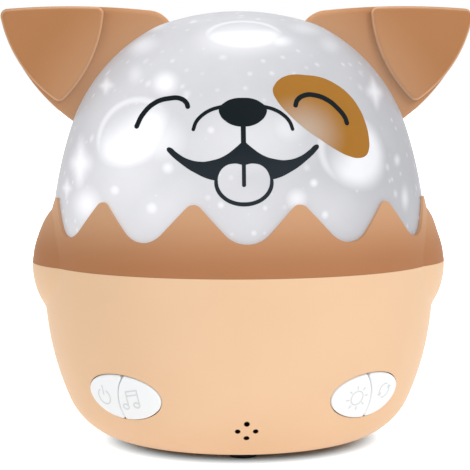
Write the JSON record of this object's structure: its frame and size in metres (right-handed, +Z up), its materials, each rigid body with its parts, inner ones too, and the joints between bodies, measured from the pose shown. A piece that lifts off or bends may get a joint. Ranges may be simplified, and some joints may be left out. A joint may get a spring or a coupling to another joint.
{
  "type": "musical night light projector",
  "caption": "Egg-shaped bedside night light with a lift-off milky dome, folded ears, pointed collar, push buttons, turning star film, lamp and speaker.",
  "frame": {"origin": "on the floor under the egg's axis, at the feet", "axes": "+Z up, front towards -Y, +X to the viewer's right"},
  "size_m": [0.1516, 0.124, 0.1399],
  "materials": {
    "peach_plastic": "satin moulded",
    "brown_plastic": "satin moulded",
    "milky_diffuser": "milky, lit from inside",
    "white_button": "satin",
    "black_rubber": "matt",
    "white_plastic": "satin moulded",
    "star_film": "tinted film",
    "gear_plastic": "satin",
    "steel": "plated",
    "motor_can": "plated",
    "light_board": "white coated",
    "lamp_lens": "clear",
    "circuit_board": "coated",
    "black_plastic": "matt",
    "paper_cone": "matt",
    "magnet": "matt",
    "foam_pad": "foam",
    "cell_wrap": "shrink wrap"
  },
  "bodies": {
    "base": {"base_shell": "peach_plastic", "rubber_feet": "black_rubber", "deck": "white_plastic", "motor": "motor_can", "led_board": "light_board", "led_emitter": "lamp_lens", "main_board": "circuit_board", "switch_board_left": "circuit_board", "switch_board_right": "circuit_board", "charge_board": "circuit_board", "board_parts": "black_plastic", "switches_left": "black_plastic", "switches_right": "black_plastic", "speaker_basket": "steel", "speaker_cone": "paper_cone", "speaker_magnet": "magnet", "battery_pad": "foam_pad", "battery_pack": "cell_wrap", "charge_port": "steel", "deck_screws": "steel", "switch_board_screws": "steel", "motor_screws": "steel", "led_screws": "steel", "board_screws": "steel", "speaker_screws": "steel", "charge_screws": "steel"},
    "cover": {"dome": "milky_diffuser", "collar": "brown_plastic", "ear_left": "brown_plastic", "ear_right": "brown_plastic", "ear_screws": "steel", "dome_screws": "steel"},
    "film_rotor": {"film_carrier": "white_plastic", "film_dome": "star_film"},
    "pinion": {"drive_pinion": "gear_plastic", "motor_shaft": "steel"},
    "button_power": {"button_power": "white_button", "plunger_power": "black_plastic"},
    "button_music": {"button_music": "white_button", "plunger_music": "black_plastic"},
    "button_light": {"button_light": "white_button", "plunger_light": "black_plastic"},
    "button_rotate": {"button_rotate": "white_button", "plunger_rotate": "black_plastic"}
  },
  "joints": [
    {"name": "cover_lift", "type": "slide", "parent": "base", "child": "cover", "axis": [0, 0, 1], "range_m": [0, 0.09]},
    {"name": "film_spin", "type": "hinge", "parent": "base", "child": "film_rotor", "pos_m": [0, 0, 0.058], "axis": [0, 0, 1], "continuous": true},
    {"name": "pinion_spin", "type": "hinge", "parent": "base", "child": "pinion", "pos_m": [0.03386, 0.01955, 0.058], "axis": [0, 0, 1], "continuous": true},
    {"name": "button_power_press", "type": "slide", "parent": "base", "child": "button_power", "axis": [0.6056, 0.7243, 0.3295], "range_m": [0, 0.001], "stiffness_N_per_m": 1200},
    {"name": "button_music_press", "type": "slide", "parent": "base", "child": "button_music", "axis": [0.6056, 0.7243, 0.3295], "range_m": [0, 0.001], "stiffness_N_per_m": 1200},
    {"name": "button_light_press", "type": "slide", "parent": "base", "child": "button_light", "axis": [-0.6056, 0.7243, 0.3295], "range_m": [0, 0.001], "stiffness_N_per_m": 1200},
    {"name": "button_rotate_press", "type": "slide", "parent": "base", "child": "button_rotate", "axis": [-0.6056, 0.7243, 0.3295], "range_m": [0, 0.001], "stiffness_N_per_m": 1200}
  ],
  "couplings": [
    {"joint": "pinion_spin", "follows": "film_spin", "ratio": -3.3333}
  ]
}
